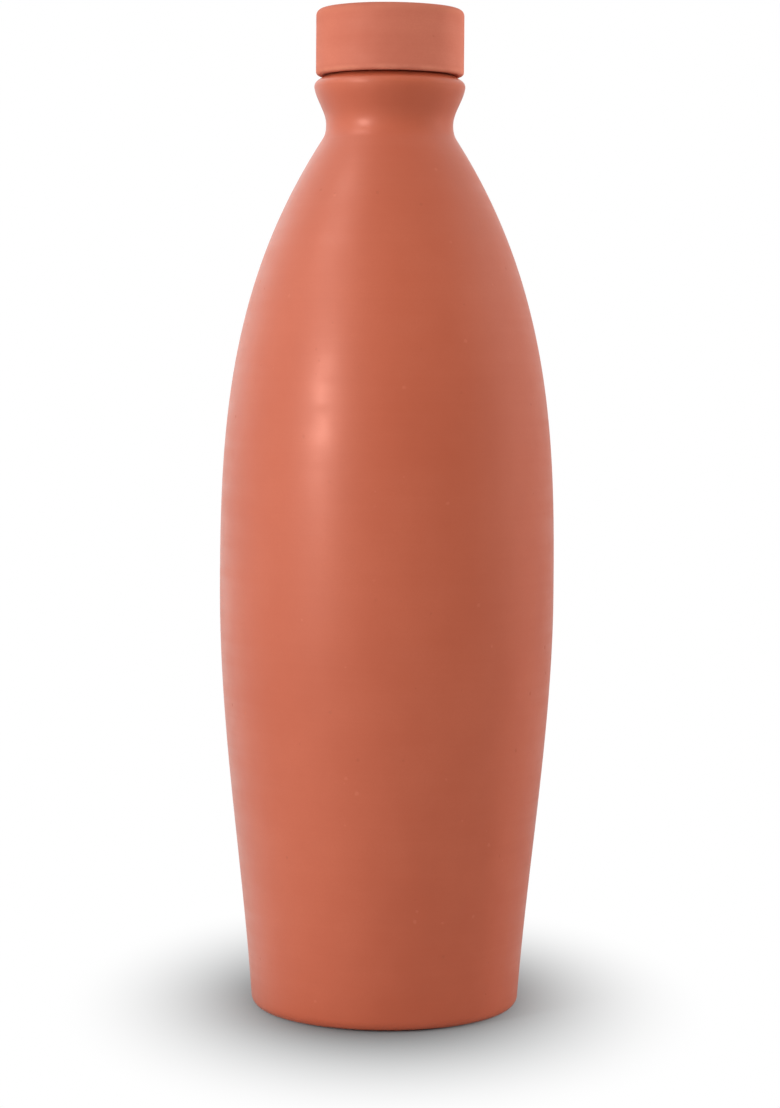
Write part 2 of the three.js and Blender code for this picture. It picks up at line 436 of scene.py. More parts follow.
@dataclass(frozen=True)
class ClayFinish:
    """Fired clay, burnished where the hand attribute is high and left raw elsewhere.

    The burnished skin has a gloss in gloss_tone, under a soft pale coat as strong as polish says.
    """

    POLISH_ROUGHNESS: ClassVar[float] = 0.5
    # How much each mark shows in the colour. A grain whose kind is above PALE_FROM is a pale one.
    PATCH_SHARE: ClassVar[float] = 0.65
    CLOUD_SHARE: ClassVar[float] = 0.35
    LINE_SHARE: ClassVar[float] = 0.08
    POWDER_SHARE: ClassVar[float] = 0.35
    GRAIN_SHARE: ClassVar[float] = 0.22
    PALE_FROM: ClassVar[float] = 0.6
    # How much each mark adds to the roughness.
    CLOUD_ROUGHNESS: ClassVar[float] = 0.08
    STREAK_ROUGHNESS: ClassVar[float] = 0.06
    GRAIN_ROUGHNESS: ClassVar[float] = 0.2
    WEAR_ROUGHNESS: ClassVar[float] = 0.15
    PIT_DEPTH: ClassVar[float] = 0.03 * MM

    slot: Slot
    light_tone: Colour
    deep_tone: Colour
    raw_tone: Colour
    dark_grain: Colour
    pale_grain: Colour
    worn_tone: Colour
    gloss_tone: Colour
    specular: float
    sheen_roughness: float
    raw_roughness: float
    polish: float
    streak_strength: float
    powder_height: float
    line_height: float

    def material(self, effects: ClayEffects) -> bpy.types.Material:
        """Makes the clay's material.

        Args:
            effects: the shader groups to use.

        Returns:
            The finished material.
        """
        made, wires = blank_material(self.slot.value)
        masks = ClayMasks.placed(wires, effects)
        feeds = {
            "Base Color": self.colour(wires, masks),
            "Roughness": self.roughness(wires, masks),
            "Specular IOR Level": self.specular,
            "Specular Tint": self.gloss_tone,
            "Coat Weight": wires.math("MULTIPLY", masks.burnish, self.polish),
            "Coat Roughness": self.POLISH_ROUGHNESS,
        }
        wires.principled(self.height(wires, masks), feeds)
        return made

    def colour(self, wires: Wiring, masks: ClayMasks) -> Socket:
        """Builds the clay's colour from its patches, streaks, grains and worn edges.

        Args:
            wires: the material's wiring.
            masks: where each mark shows.

        Returns:
            The colour's socket.
        """
        share = wires.math("MULTIPLY", masks.firing["Patches"], self.PATCH_SHARE)
        share = wires.math("MULTIPLY_ADD", masks.firing["Clouds"], self.CLOUD_SHARE, share)
        share = wires.swing(masks.turning["Streaks"], self.streak_strength, share)
        share = wires.swing(masks.turning["Lines"], self.LINE_SHARE, share)
        colour = wires.blend(share, self.light_tone, self.deep_tone)
        colour = wires.blend(wires.math("SUBTRACT", 1.0, masks.burnish), colour, self.raw_tone)
        powder = wires.ramp(masks.grit["Powder"], *USUAL_RANGE, 0.0, self.POWDER_SHARE)
        colour = wires.blend(powder, colour, self.deep_tone)
        pale = wires.math("GREATER_THAN", masks.grit["Kind"], self.PALE_FROM)
        grain_tone = wires.blend(pale, self.dark_grain, self.pale_grain)
        grain = wires.math("MULTIPLY", masks.grit["Grains"], self.GRAIN_SHARE)
        colour = wires.blend(grain, colour, grain_tone)
        return wires.blend(masks.wear, colour, self.worn_tone)

    def roughness(self, wires: Wiring, masks: ClayMasks) -> Socket:
        """Builds the clay's roughness: satin where it was burnished, dull where raw or worn.

        Args:
            wires: the material's wiring.
            masks: where each mark shows.

        Returns:
            The roughness socket.
        """
        fall = self.sheen_roughness - self.raw_roughness
        rough = wires.math("MULTIPLY_ADD", masks.burnish, fall, self.raw_roughness)
        rough = wires.swing(masks.firing["Clouds"], self.CLOUD_ROUGHNESS, rough)
        rough = wires.swing(masks.turning["Streaks"], self.STREAK_ROUGHNESS, rough)
        rough = wires.math("MULTIPLY_ADD", masks.grit["Grains"], self.GRAIN_ROUGHNESS, rough)
        return wires.math("MULTIPLY_ADD", masks.wear, self.WEAR_ROUGHNESS, rough)

    def height(self, wires: Wiring, masks: ClayMasks) -> Socket:
        """Builds the clay's fine relief: powdery grain, turning lines and pits at the grains.

        Args:
            wires: the material's wiring.
            masks: where each mark shows.

        Returns:
            The socket of the height in metres.
        """
        height = wires.math("MULTIPLY", masks.grit["Powder"], self.powder_height)
        height = wires.math("MULTIPLY_ADD", masks.turning["Lines"], self.line_height, height)
        return wires.math("MULTIPLY_ADD", masks.grit["Grains"], -self.PIT_DEPTH, height)


@dataclass(frozen=True)
class RubberFinish:
    """Moulded red rubber with a faint bloom of dust."""

    PATCH_SIZES: ClassVar[dict[str, float]] = {"Patch Size": 8 * MM, "Cloud Size": 2 * MM}
    GRAIN_SIZES: ClassVar[dict[str, float]] = {
        "Spacing": 1.5 * MM,
        "Share": 0.35,
        "Grain Width": 0.2 * MM,
        "Powder Size": 0.2 * MM,
    }
    WEAR_SIZES: ClassVar[dict[str, float]] = {"Amount": 0.5}
    CLOUD_BLOOM: ClassVar[float] = 0.25
    GRAIN_BLOOM: ClassVar[float] = 0.4
    PATCH_ROUGHNESS: ClassVar[float] = 0.15
    POWDER_HEIGHT: ClassVar[float] = 0.01 * MM

    slot: Slot
    tone: Colour
    bloom_tone: Colour
    specular: float
    base_roughness: float

    def material(self, effects: ClayEffects) -> bpy.types.Material:
        """Makes the rubber's material.

        Args:
            effects: the shader groups to use.

        Returns:
            The finished material.
        """
        made, wires = blank_material(self.slot.value)
        firing = wires.node("ShaderNodeGroup", self.PATCH_SIZES, node_tree=effects.firing).outputs
        grit = wires.node("ShaderNodeGroup", self.GRAIN_SIZES, node_tree=effects.grit).outputs
        wear = wires.node("ShaderNodeGroup", self.WEAR_SIZES, node_tree=effects.wear).outputs
        bloom = wires.math("MULTIPLY", grit["Grains"], self.GRAIN_BLOOM)
        bloom = wires.math("MULTIPLY_ADD", firing["Clouds"], self.CLOUD_BLOOM, bloom)
        bloom = wires.math("MAXIMUM", bloom, wear["Wear"])
        patchy = wires.math(
            "MULTIPLY_ADD", firing["Patches"], self.PATCH_ROUGHNESS, self.base_roughness
        )
        feeds = {
            "Base Color": wires.blend(bloom, self.tone, self.bloom_tone),
            "Roughness": patchy,
            "Specular IOR Level": self.specular,
        }
        wires.principled(wires.math("MULTIPLY", grit["Powder"], self.POWDER_HEIGHT), feeds)
        return made


BURNISHED_CLAY = ClayFinish(
    slot=Slot.BURNISHED_CLAY,
    light_tone=srgb(181, 90, 62),
    deep_tone=srgb(173, 82, 54),
    raw_tone=srgb(176, 94, 70),
    dark_grain=srgb(138, 66, 46),
    pale_grain=srgb(206, 122, 94),
    worn_tone=srgb(190, 98, 70),
    gloss_tone=(1.0, 0.5, 0.4, 1.0),
    specular=0.37,
    sheen_roughness=0.36,
    raw_roughness=0.85,
    polish=0.42,
    streak_strength=0.14,
    powder_height=0.006 * MM,
    line_height=0.004 * MM,
)
PLAIN_CLAY = ClayFinish(
    slot=Slot.PLAIN_CLAY,
    light_tone=srgb(200, 114, 90),
    deep_tone=srgb(187, 101, 78),
    raw_tone=srgb(180, 98, 74),
    dark_grain=srgb(150, 80, 60),
    pale_grain=srgb(218, 146, 118),
    worn_tone=srgb(205, 124, 99),
    gloss_tone=(1.0, 1.0, 1.0, 1.0),
    specular=0.3,
    sheen_roughness=0.7,
    raw_roughness=0.9,
    polish=0.0,
    streak_strength=0.14,
    powder_height=0.014 * MM,
    line_height=0.008 * MM,
)
RED_RUBBER = RubberFinish(
    slot=Slot.RED_RUBBER,
    tone=srgb(142, 50, 33),
    bloom_tone=srgb(176, 98, 80),
    specular=0.15,
    base_roughness=0.55,
)


@dataclass(frozen=True)
class Station:
    """One place on a wall: its radius, its height and how far it leans outwards as it rises."""

    radius: float
    height: float
    lean: float = 0.0

    def square_in(self, wall: float) -> "Station":
        """Gives the station square in from this one, through a wall of that thickness."""
        slant = math.hypot(1.0, self.lean)
        return Station(
            self.radius - wall / slant, self.height + wall * self.lean / slant, self.lean
        )


@dataclass
class Profile:
    """A half section, drawn so that the material lies on the left of the way that it runs."""

    # The fewest steps in a quarter turn or a curve.
    ROUND_STEPS: ClassVar[int] = 7
    QUARTER_TURN: ClassVar[float] = 90.0
    # Points closer than this are one point.
    TOUCHING: ClassVar[float] = 1e-7
    # A cubic with its handles this far towards one corner is the same curve as a quadratic.
    HANDLE_SHARE: ClassVar[float] = 2 / 3
    # Edges: the turn in a millimetre from which one counts, the least length that a turn is
    # divided by, and how far along the profile its wear spreads.
    RIM_FROM: ClassVar[float] = 0.15
    LEAST_RUN: ClassVar[float] = 1e-6
    RIM_REACH: ClassVar[float] = 0.6 * MM
    # The hand's marks fade out within this distance of the axis, where the faces all meet.
    POLE_REACH: ClassVar[float] = 4.0 * MM

    spacing: float
    hand: float = 0.0
    places: list[tuple[float, float]] = field(default_factory=list)
    hands: list[float] = field(default_factory=list)

    def add(self, radius: float, height: float) -> None:
        """Adds one point, unless the profile already ends there.

        Args:
            radius: the point's distance from the axis.
            height: its height.
        """
        if self.places and math.dist(self.places[-1], (radius, height)) < self.TOUCHING:
            return
        self.places.append((radius, height))
        self.hands.append(self.hand * min(1.0, radius / self.POLE_REACH))

    def line(self, radius: float, height: float) -> None:
        """Draws a straight line to a point, in even steps.

        Args:
            radius: the point's distance from the axis.
            height: its height.
        """
        start = self.places[-1]
        steps = max(1, round(math.dist(start, (radius, height)) / self.spacing))
        for step in range(1, steps + 1):
            share = step / steps
            self.add(
                start[0] + (radius - start[0]) * share, start[1] + (height - start[1]) * share
            )

    def arc(self, centre: tuple[float, float], radius: float, start: float, end: float) -> None:
        """Draws an arc.

        Args:
            centre: its middle, as radius and height.
            radius: its own radius.
            start: the angle that it starts at, in degrees up from straight out.
            end: the angle that it ends at.
        """
        turn = abs(end - start)
        length = math.radians(turn) * radius
        least = round(self.ROUND_STEPS * turn / self.QUARTER_TURN)
        steps = max(least, round(length / self.spacing))
        for step in range(steps + 1):
            angle = math.radians(start + (end - start) * step / steps)
            self.add(centre[0] + radius * math.cos(angle), centre[1] + radius * math.sin(angle))

    def curve(
        self,
        first: tuple[float, float],
        second: tuple[float, float],
        end: tuple[float, float],
    ) -> None:
        """Draws a cubic curve from the profile's end.

        Args:
            first: its first handle, as radius and height.
            second: its second handle.
            end: its last point.
        """
        start = self.places[-1]
        points = (start, first, second, end)
        length = math.dist(start, first) + math.dist(first, second) + math.dist(second, end)
        steps = max(self.ROUND_STEPS, round(length / self.spacing))
        for step in range(1, steps + 1):
            t = step / steps
            shares = ((1 - t) ** 3, 3 * t * (1 - t) ** 2, 3 * t * t * (1 - t), t**3)
            radius, height = (
                sum(share * point[axis] for share, point in zip(shares, points))
                for axis in (0, 1)
            )
            self.add(radius, height)

    def bend(self, corner: tuple[float, float], end: tuple[float, float]) -> None:
        """Draws a soft bend that keeps inside a corner, from the profile's end.

        Args:
            corner: the corner, as radius and height.
            end: the bend's last point.
        """
        first, second = (
            tuple(a + (c - a) * self.HANDLE_SHARE for a, c in zip(place, corner))
            for place in (self.places[-1], end)
        )
        self.curve(first, second, end)

    def wall(self, *stations: Station) -> None:
        """Draws a smooth wall through its stations, as one cubic stretch between each two.

        Args:
            stations: the wall's places, of which the first is the profile's end.
        """
        for begin, end in zip(stations, stations[1:]):
            third = (end.height - begin.height) / 3
            self.curve(
                (begin.radius + begin.lean * third, begin.height + third),
                (end.radius - end.lean * third, end.height - third),
                (end.radius, end.height),
            )

    def outwards(self) -> list[Vector]:
        """Works out the direction square out of the material.

        Returns:
            The direction at each point.
        """
        found = []
        last = len(self.places) - 1
        for i in range(len(self.places)):
            before = self.places[max(i - 1, 0)]
            after = self.places[min(i + 1, last)]
            across = Vector((after[1] - before[1], 0.0, before[0] - after[0]))
            found.append(across.normalized())
        return found

    def runs(self) -> list[float]:
        """Works out the length along the profile.

        Returns:
            The length up to each point.
        """
        found = [0.0]
        for before, after in zip(self.places, self.places[1:]):
            found.append(found[-1] + math.dist(before, after))
        return found

    def rims(self) -> list[float]:
        """Works out how sharply the profile turns round an outer edge.

        Returns:
            The sharpness at each point, from 0 to 1, spread to the points close by.
        """
        runs = self.runs()
        sharp = [0.0] * len(runs)
        for i in range(1, len(runs) - 1):
            (x0, y0), (x1, y1), (x2, y2) = self.places[i - 1:i + 2]
            cross = (x1 - x0) * (y2 - y1) - (y1 - y0) * (x2 - x1)
            dot = (x1 - x0) * (x2 - x1) + (y1 - y0) * (y2 - y1)
            length = max((runs[i + 1] - runs[i - 1]) / 2, self.LEAST_RUN)
            turn_in_mm = math.atan2(cross, dot) / length * MM
            sharp[i] = min(1.0, max(0.0, turn_in_mm - self.RIM_FROM))
        return [
            max(
                value * math.exp(-(((run - at) / self.RIM_REACH) ** 2))
                for value, run in zip(sharp, runs)
            )
            for at in runs
        ]

    def mesh(self, name: str) -> bpy.types.Mesh:
        """Makes the profile a mesh of edges that carries what the turning needs.

        Args:
            name: the mesh's name.

        Returns:
            The mesh, in the plane of radius and height.
        """
        made = bpy.data.meshes.new(name)
        edges = [(i, i + 1) for i in range(len(self.places) - 1)]
        made.from_pydata([(radius, 0.0, height) for radius, height in self.places], edges, [])
        for label, values in (("hand", self.hands), ("run", self.runs()), ("rim", self.rims())):
            made.attributes.new(label, "FLOAT", "POINT").data.foreach_set("value", values)
        flat = [part for direction in self.outwards() for part in direction]
        made.attributes.new("outward", "FLOAT_VECTOR", "POINT").data.foreach_set("vector", flat)
        return made


@dataclass(frozen=True)
class HandMarks:
    """The unevenness that a potter's hand leaves: a slow sway, and a spiral of low ridges."""

    sway_size: float = 45 * MM
    sway_depth: float = 0.0
    ridge_pitch: float = 5 * MM
    ridge_depth: float = 0.0
    seed: float = 0.0


class Wheel:
    """The geometry node tree that turns a profile round the axis."""

    INPUT_KINDS: ClassVar[dict[str, str]] = {
        "Profile": "NodeSocketGeometry",
        "Segments": "NodeSocketInt",
        "Sway Size": "NodeSocketFloat",
        "Sway Depth": "NodeSocketFloat",
        "Ridge Pitch": "NodeSocketFloat",
        "Ridge Depth": "NodeSocketFloat",
        "Seed": "NodeSocketFloat",
        "Material": "NodeSocketMaterial",
    }
    AXIS: ClassVar[tuple[float, float, float]] = (0.0, 0.0, 1.0)
    # Points closer than this are merged, which closes the seam and the poles.
    MERGE_REACH: ClassVar[float] = 1e-6
    # Added to a point's number so that rounding can't put it in the row before.
    ROW_MIDDLE: ClassVar[float] = 0.5

    def __init__(self) -> None:
        """Builds the tree."""
        self.tree = bpy.data.node_groups.new("turned_piece", "GeometryNodeTree")
        self.wires = Wiring(self.tree)
        self.keys: dict[str, str] = {}
        face = self.tree.interface
        for label, kind in self.INPUT_KINDS.items():
            socket = face.new_socket(name=label, in_out="INPUT", socket_type=kind)
            self.keys[label] = socket.identifier
        face.new_socket(name="Piece", in_out="OUTPUT", socket_type="NodeSocketGeometry")
        self.entry = self.wires.node("NodeGroupInput").outputs
        self.wire()

    def sample(self, row: Socket, label: str, kind: str) -> Socket:
        """Reads one of the profile's attributes at a row.

        Args:
            row: which of the profile's points to read.
            label: the attribute's name.
            kind: its data type.

        Returns:
            The value's socket.
        """
        feeds = {"Name": label}
        named = self.wires.node("GeometryNodeInputNamedAttribute", feeds, data_type=kind)
        feeds = {"Geometry": self.entry["Profile"], "Value": named.outputs[0], "Index": row}
        read = self.wires.node("GeometryNodeSampleIndex", feeds, data_type=kind, domain="POINT")
        return read.outputs[0]

    def turned(self, vector: Socket, angle: Socket) -> Socket:
        """Swings a vector of radius and height round the axis by an angle."""
        feeds = {"Vector": vector, "Axis": self.AXIS, "Angle": angle}
        return self.wires.node(
            "ShaderNodeVectorRotate", feeds, rotation_type="AXIS_ANGLE"
        ).outputs[0]

    def marks(self, place: Socket, run: Socket, angle: Socket) -> Socket:
        """Works out how far the potter's hand moved the surface out.

        The sway only goes in, so that the piece stays within its solid's box.

        Args:
            place: the point before it is moved.
            run: the length along the profile there.
            angle: the angle round the axis there.

        Returns:
            The distance's socket.
        """
        wires, entry = self.wires, self.entry
        scale = wires.per(entry["Sway Size"])
        feeds = {"Vector": place, "W": entry["Seed"], "Scale": scale, "Detail": 1.0}
        cloud = wires.node("ShaderNodeTexNoise", feeds, noise_dimensions="4D").outputs[0]
        sway = wires.math("MULTIPLY", wires.math("SUBTRACT", cloud, 1.0), entry["Sway Depth"])
        turns = wires.math("DIVIDE", run, entry["Ridge Pitch"])
        phase = wires.math("SUBTRACT", wires.math("MULTIPLY", turns, math.tau), angle)
        ridge = wires.math("MULTIPLY", wires.math("SINE", phase), entry["Ridge Depth"])
        return wires.math("MULTIPLY_ADD", ridge, wires.ramp(cloud, *USUAL_RANGE), sway)

    def wire(self) -> None:
        """Wires the tree from the profile to the finished piece."""
        wires, entry = self.wires, self.entry
        feeds = {"Geometry": entry["Profile"]}
        points = wires.node("GeometryNodeAttributeDomainSize", feeds).outputs["Point Count"]
        columns = wires.math("ADD", entry["Segments"], 1.0)
        feeds = {"Vertices X": points, "Vertices Y": columns}
        shape = wires.node("GeometryNodeMeshGrid", feeds).outputs["Mesh"]
        index = wires.node("GeometryNodeInputIndex").outputs[0]
        within = wires.math("ADD", index, self.ROW_MIDDLE)
        row = wires.math("FLOOR", wires.math("DIVIDE", within, columns))
        column = wires.math("SUBTRACT", index, wires.math("MULTIPLY", row, columns))
        share = wires.math("DIVIDE", column, entry["Segments"])
        angle = wires.math("MULTIPLY", share, math.tau)
        place = self.turned(self.sample(row, "position", "FLOAT_VECTOR"), angle)
        outward = self.turned(self.sample(row, "outward", "FLOAT_VECTOR"), angle)
        hand = self.sample(row, "hand", "FLOAT")
        marks = self.marks(place, self.sample(row, "run", "FLOAT"), angle)
        moved = wires.scaled(outward, wires.math("MULTIPLY", marks, hand))
        final = wires.vector("ADD", place, moved)
        for label, value in (("hand", hand), ("rim", self.sample(row, "rim", "FLOAT"))):
            feeds = {"Geometry": shape, "Name": label, "Value": value}
            shape = wires.node(
                "GeometryNodeStoreNamedAttribute", feeds, data_type="FLOAT", domain="POINT"
            ).outputs[0]
        for kind, feeds in (
            ("GeometryNodeSetPosition", {"Position": final}),
            ("GeometryNodeMergeByDistance", {"Distance": self.MERGE_REACH}),
            ("GeometryNodeSetShadeSmooth", {}),
            ("GeometryNodeRealizeInstances", {}),
            ("GeometryNodeSetMaterial", {"Material": entry["Material"]}),
        ):
            shape = wires.node(kind, {0: shape, **feeds}).outputs[0]
        wires.node("NodeGroupOutput", {0: shape})

    def throw(
        self,
        name: str,
        profile: Profile,
        segments: int,
        marks: HandMarks,
        material: bpy.types.Material,
    ) -> bpy.types.Object:
        """Turns a profile into a plain mesh object.

        Args:
            name: the piece's name.
            profile: its half section.
            segments: how many faces go round it.
            marks: the unevenness that it carries.
            material: its finish.

        Returns:
            The piece, at the origin, with no modifier left on it.
        """
        source = bpy.data.objects.new(name + "_profile", profile.mesh(name + "_profile"))
        bpy.context.scene.collection.objects.link(source)
        modifier = source.modifiers.new("wheel", "NODES")
        modifier.node_group = self.tree
        values = {
            "Segments": segments,
            "Sway Size": marks.sway_size,
            "Sway Depth": marks.sway_depth,
            "Ridge Pitch": marks.ridge_pitch,
            "Ridge Depth": marks.ridge_depth,
            "Seed": marks.seed,
            "Material": material,
        }
        for label, value in values.items():
            modifier[self.keys[label]] = value
        graph = bpy.context.evaluated_depsgraph_get()
        mesh = bpy.data.meshes.new_from_object(source.evaluated_get(graph), depsgraph=graph)
        mesh.name = name
        bpy.data.objects.remove(source)
        piece = bpy.data.objects.new(name, mesh)
        bpy.context.scene.collection.objects.link(piece)
        return piece


def settle(piece: bpy.types.Object, body: Body, node: str) -> bpy.types.Object:
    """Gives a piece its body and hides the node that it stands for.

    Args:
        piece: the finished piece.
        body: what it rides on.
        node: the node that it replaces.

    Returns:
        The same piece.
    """
    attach(piece, body.value)
    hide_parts(node)
    return piece


@dataclass
class BottleBody:
    """The clay bottle: foot, belly, shoulder, waisted neck and bevelled lip, hollow inside."""

    foot_radius: float = 38.6 * MM
    foot_round: float = 3.0 * MM
    foot_lean: float = 0.072
    foot_ring: float = 9.0 * MM
    recess_depth: float = 1.5 * MM
    foot_to_belly: float = 116.5 * MM
    belly_to_neck: float = 129.2 * MM
    neck_step: float = 1.05 * MM
    neck_lean: float = -0.645
    waist_radius: float = 18.15 * MM
    neck_to_waist: float = 4.3 * MM
    waist_to_lip: float = 10.2 * MM
    lip_flare: float = 3.35 * MM
    lip_lean: float = 0.15
    lip_edge: float = 1.5 * MM
    lip_edge_share: float = 0.4
    lip_bevel: float = 3.7 * MM
    body_wall: float = 6.0 * MM
    neck_wall: float = 5.0 * MM
    floor: float = 8.0 * MM
    floor_round: float = 8.0 * MM
    mouth_round: float = 1.0 * MM
    segments: int = 192
    outer_spacing: float = 1.3 * MM
    inner_spacing: float = 4.0 * MM
    marks: HandMarks = HandMarks(
        sway_depth=0.14 * MM, ridge_pitch=5.5 * MM, ridge_depth=0.006 * MM, seed=3.0
    )

    def belly(self) -> Station:
        """Gives the widest place of the outer wall."""
        return Station(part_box("bottle_body")[1].x, self.foot_round + self.foot_to_belly)

    def root(self) -> Station:
        """Gives the place on the outer wall where the shoulder runs into the neck."""
        height = self.belly().height + self.belly_to_neck
        return Station(self.waist_radius + self.neck_step, height, self.neck_lean)

    def outside(self, profile: Profile) -> None:
        """Draws the foot, the outer wall and the lip, up to the land that the seal lies on.

        Args:
            profile: the profile being drawn, still empty.
        """
        low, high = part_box("bottle_body")
        ring_outer = self.foot_radius - self.foot_round
        ring_inner = ring_outer - self.foot_ring
        foot = Station(self.foot_radius, self.foot_round, self.foot_lean)
        root = self.root()
        waist = Station(self.waist_radius, root.height + self.neck_to_waist)
        lip_height = waist.height + self.waist_to_lip
        lip = Station(self.waist_radius + self.lip_flare, lip_height, self.lip_lean)
        land = lip.radius - self.lip_bevel
        edge = (lip.radius + self.lip_lean * self.lip_edge, lip.height + self.lip_edge)
        bevel = (
            edge[0] + (land - edge[0]) * self.lip_edge_share,
            edge[1] + (high.z - edge[1]) * self.lip_edge_share,
        )
        profile.add(0.0, self.recess_depth)
        profile.bend((ring_inner / 2, self.recess_depth), (ring_inner, low.z))
        profile.line(ring_outer, low.z)
        profile.hand = 1.0
        profile.arc((ring_outer, self.foot_round), self.foot_round, -90, 0)
        profile.wall(foot, self.belly(), root, waist, lip)
        profile.bend(edge, bevel)
        profile.line(land, high.z)

    def inside(self, profile: Profile) -> None:
        """Draws the land, the bore, the inner wall and the floor.

        Args:
            profile: the profile being drawn, with the outside on it.
        """
        land_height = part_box("bottle_body")[1].z
        bore = self.waist_radius - self.neck_wall
        belly = self.belly().square_in(self.body_wall)
        root = self.root().square_in(self.neck_wall)
        bore_end = Station(bore, root.height + self.neck_to_waist)
        foot_height = self.floor + self.floor_round
        foot_wall = self.foot_radius + self.foot_lean * (foot_height - self.foot_round)
        foot = Station(foot_wall - self.body_wall, foot_height, self.foot_lean)
        mouth = (bore + self.mouth_round, land_height - self.mouth_round)
        profile.hand = 0.0
        profile.line(mouth[0], land_height)
        profile.arc(mouth, self.mouth_round, 90, 180)
        profile.spacing = self.inner_spacing
        profile.line(bore, bore_end.height)
        profile.wall(bore_end, root, belly, foot)
        profile.arc((foot.radius - self.floor_round, foot_height), self.floor_round, 0, -90)
        profile.line(0.0, self.floor)

    def build(self, wheel: Wheel, material: bpy.types.Material) -> bpy.types.Object:
        """Turns the bottle and puts it on its body.

        Args:
            wheel: what turns the profile.
            material: the clay.

        Returns:
            The bottle.
        """
        profile = Profile(self.outer_spacing)
        self.outside(profile)
        self.inside(profile)
        piece = wheel.throw("clay_bottle", profile, self.segments, self.marks, material)
        return settle(piece, Body.BOTTLE, "bottle_body")


@dataclass
class Gasket:
    """The thin flat rubber washer between the lip and the head of the cap."""

    SEAT_GAP: ClassVar[float] = 0.05 * MM

    inner_gap: float = 0.05 * MM
    edge_round: float = 0.15 * MM
    segments: int = 128
    spacing: float = 0.4 * MM

    def build(self, wheel: Wheel, material: bpy.types.Material) -> bpy.types.Object:
        """Turns the washer and puts it on its body.

        Args:
            wheel: what turns the profile.
            material: the rubber.

        Returns:
            The washer.
        """
        low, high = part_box("mouth_gasket")
        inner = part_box("upper_seal_ring")[1].x - self.inner_gap
        edge = self.edge_round
        drawn = Profile(self.spacing)
        drawn.add(inner, low.z + edge)
        drawn.arc((inner + edge, low.z + edge), edge, 180, 270)
        drawn.line(high.x - edge, low.z)
        drawn.arc((high.x - edge, low.z + edge), edge, -90, 0)
        drawn.arc((high.x - edge, high.z - edge), edge, 0, 90)
        drawn.line(inner + edge, high.z)
        drawn.arc((inner + edge, high.z - edge), edge, 90, 180)
        drawn.line(inner, low.z + edge)
        piece = wheel.throw("lip_washer", drawn, self.segments, HandMarks(), material)
        return settle(piece, Body.SEALS, "mouth_gasket")


@dataclass
class SealRing:
    """A rubber ring of round section in one of the spigot's grooves."""

    THICKNESS: ClassVar[float] = 2.4 * MM

    node: str
    segments: int = 128

    def build(self, wheel: Wheel, material: bpy.types.Material) -> bpy.types.Object:
        """Turns the ring and puts it on its body.

        Args:
            wheel: what turns the profile.
            material: the rubber.

        Returns:
            The ring.
        """
        low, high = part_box(self.node)
        half = self.THICKNESS / 2
        drawn = Profile(half)
        drawn.arc((high.x - half, (low.z + high.z) / 2), half, 0, 360)
        name = self.node.replace("seal_ring", "rubber_ring")
        piece = wheel.throw(name, drawn, self.segments, HandMarks(), material)
        return settle(piece, Body.SEALS, self.node)


